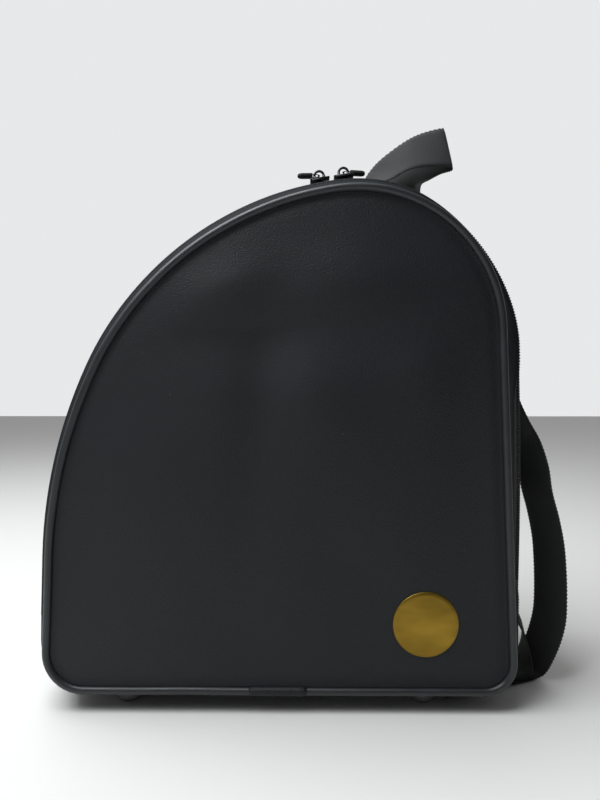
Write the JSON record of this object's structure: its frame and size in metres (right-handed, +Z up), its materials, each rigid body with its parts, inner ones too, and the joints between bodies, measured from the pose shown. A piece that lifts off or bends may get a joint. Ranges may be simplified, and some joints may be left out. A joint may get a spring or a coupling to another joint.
{
  "type": "skate bag",
  "caption": "Soft boot-shaped skate bag on small feet, its front panel folding down on a zip, with a webbing handle and shoulder strap.",
  "frame": {"origin": "on the floor, below the middle of the bounding box of the bag with its strap", "axes": "+X towards the heel side, +Y towards the back panel, +Z up"},
  "size_m": [0.4686, 0.1864, 0.5056],
  "materials": {
    "coated_cloth": "matte coated cloth",
    "foam": "closed-cell foam",
    "welt": "semi-gloss piping",
    "binding": "woven tape",
    "webbing": "woven webbing",
    "zip_tape": "woven tape",
    "zip_coil": "nylon coil",
    "slider_metal": "black enamel",
    "pull_rubber": "moulded",
    "gold_disc": "satin gold",
    "board": "plain sheet",
    "foot_rubber": "moulded",
    "fixing_steel": "plated"
  },
  "bodies": {
    "bag": {"back_panel": "coated_cloth", "back_foam": "foam", "back_welt": "welt", "back_binding": "binding", "rear_gusset": "coated_cloth", "base_panel": "coated_cloth", "base_board": "board", "feet": "foot_rubber", "foot_screws": "fixing_steel", "foot_nuts": "fixing_steel", "toe_corner_gusset": "coated_cloth", "heel_corner_gusset": "coated_cloth", "rear_zip_tape": "zip_tape", "rear_zip_coil": "zip_coil", "zip_end_stops": "zip_coil", "handle_ends": "webbing", "strap_upper_end": "webbing", "lower_anchor_tab": "webbing"},
    "flap": {"front_panel": "coated_cloth", "front_foam": "foam", "front_welt": "welt", "front_binding": "binding", "front_strip": "coated_cloth", "front_zip_tape": "zip_tape", "front_zip_coil": "zip_coil", "badge_disc": "gold_disc"},
    "toe_slider": {"toe_slider": "slider_metal"},
    "toe_pull": {"toe_pull_ring": "slider_metal", "toe_pull_tab": "pull_rubber"},
    "heel_slider": {"heel_slider": "slider_metal"},
    "heel_pull": {"heel_pull_ring": "slider_metal", "heel_pull_tab": "pull_rubber"},
    "handle": {"handle_loop": "webbing"},
    "strap": {"shoulder_strap": "webbing"}
  },
  "joints": [
    {"name": "flap_hinge", "type": "hinge", "parent": "bag", "child": "flap", "pos_m": [0, -0.085, 0.018], "axis": [1, 0, 0], "range_deg": [0, 85], "deforming": ["toe_corner_gusset", "heel_corner_gusset"]},
    {"name": "toe_slider_travel", "type": "hinge", "parent": "flap", "child": "toe_slider", "pos_m": [0.0587, -0.057, 0.172], "axis": [0, -1, 0], "range_deg": [0, 52]},
    {"name": "toe_pull_swing", "type": "hinge", "parent": "toe_slider", "child": "toe_pull", "pos_m": [0.00794, -0.057, 0.45132], "axis": [0, 1, 0], "range_deg": [0, 100]},
    {"name": "heel_slider_travel", "type": "hinge", "parent": "flap", "child": "heel_slider", "pos_m": [0.03958, -0.057, 0.30806], "axis": [0, 1, 0], "range_deg": [0, 90]},
    {"name": "heel_pull_swing", "type": "hinge", "parent": "heel_slider", "child": "heel_pull", "pos_m": [0.02885, -0.057, 0.45417], "axis": [0, -1, 0], "range_deg": [0, 100]},
    {"name": "handle_swing", "type": "hinge", "parent": "bag", "child": "handle", "pos_m": [0.07345, -0.025, 0.45139], "axis": [1, 0, 0], "range_deg": [-18, 10], "deforming": ["handle_ends"]},
    {"name": "strap_swing", "type": "hinge", "parent": "bag", "child": "strap", "pos_m": [0.1767, 0, 0.351], "axis": [-0.0207, 0.0415, 0.9989], "range_deg": [-10, 10], "deforming": ["strap_upper_end", "lower_anchor_tab"]}
  ]
}
